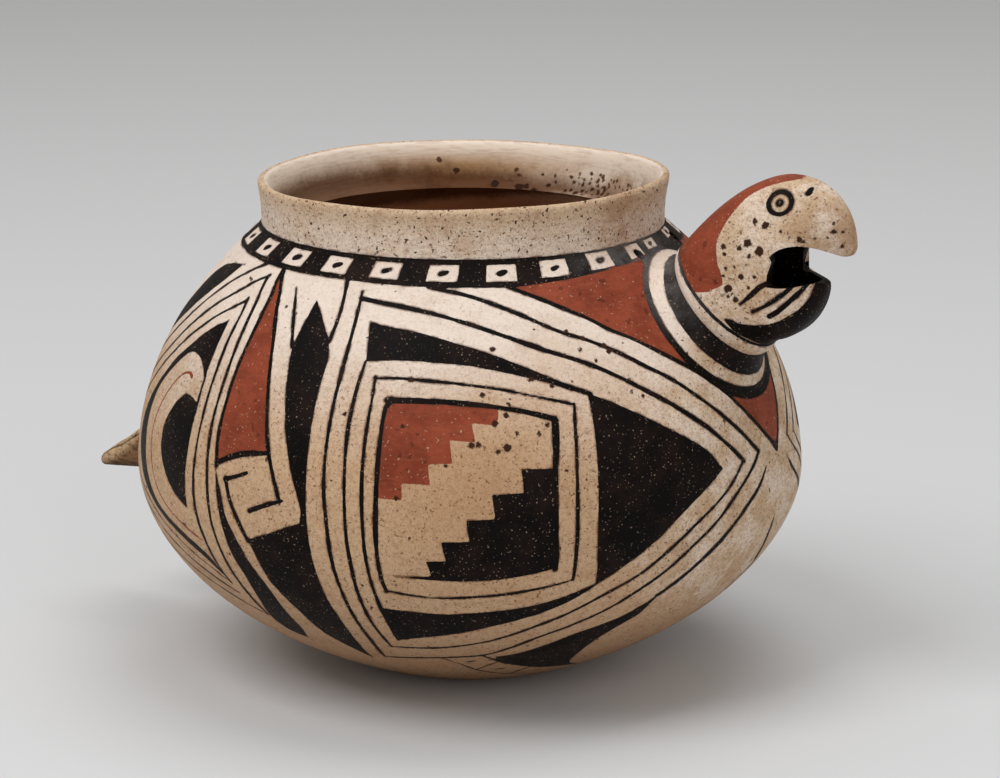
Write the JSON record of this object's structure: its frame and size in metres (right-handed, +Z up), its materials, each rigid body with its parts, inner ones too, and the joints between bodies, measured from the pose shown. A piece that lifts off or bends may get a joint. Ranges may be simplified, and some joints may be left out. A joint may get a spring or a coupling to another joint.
{
  "type": "painted effigy jar",
  "caption": "Wide coil-built pottery jar with an upright collar, a modelled macaw head on one shoulder, a tail lug opposite and a painted geometric pattern.",
  "frame": {"origin": "centre of the flat resting face, under the middle of the belly", "axes": "+Z up, square to the resting face; +X towards the bird's head, along the jar's longest reach from tail lug to beak"},
  "size_m": [0.2563, 0.2008, 0.1568],
  "materials": {
    "cream_slip": "satin",
    "black_paint": "satin",
    "bare_clay": "matte"
  },
  "bodies": {
    "root": {"base_dish": "cream_slip", "wall_coil_1": "cream_slip", "wall_coil_2": "cream_slip", "wall_coil_3": "cream_slip", "wall_coil_4": "cream_slip", "wall_coil_5": "cream_slip", "wall_coil_6": "cream_slip", "shoulder_coil_1": "cream_slip", "shoulder_coil_2": "cream_slip", "collar_coil": "cream_slip", "lip_coil": "cream_slip", "neck_tube": "black_paint", "neck_ring": "cream_slip", "head_shell": "cream_slip", "upper_beak": "cream_slip", "lower_beak": "black_paint", "tail_lug": "bare_clay"}
  },
  "joints": []
}
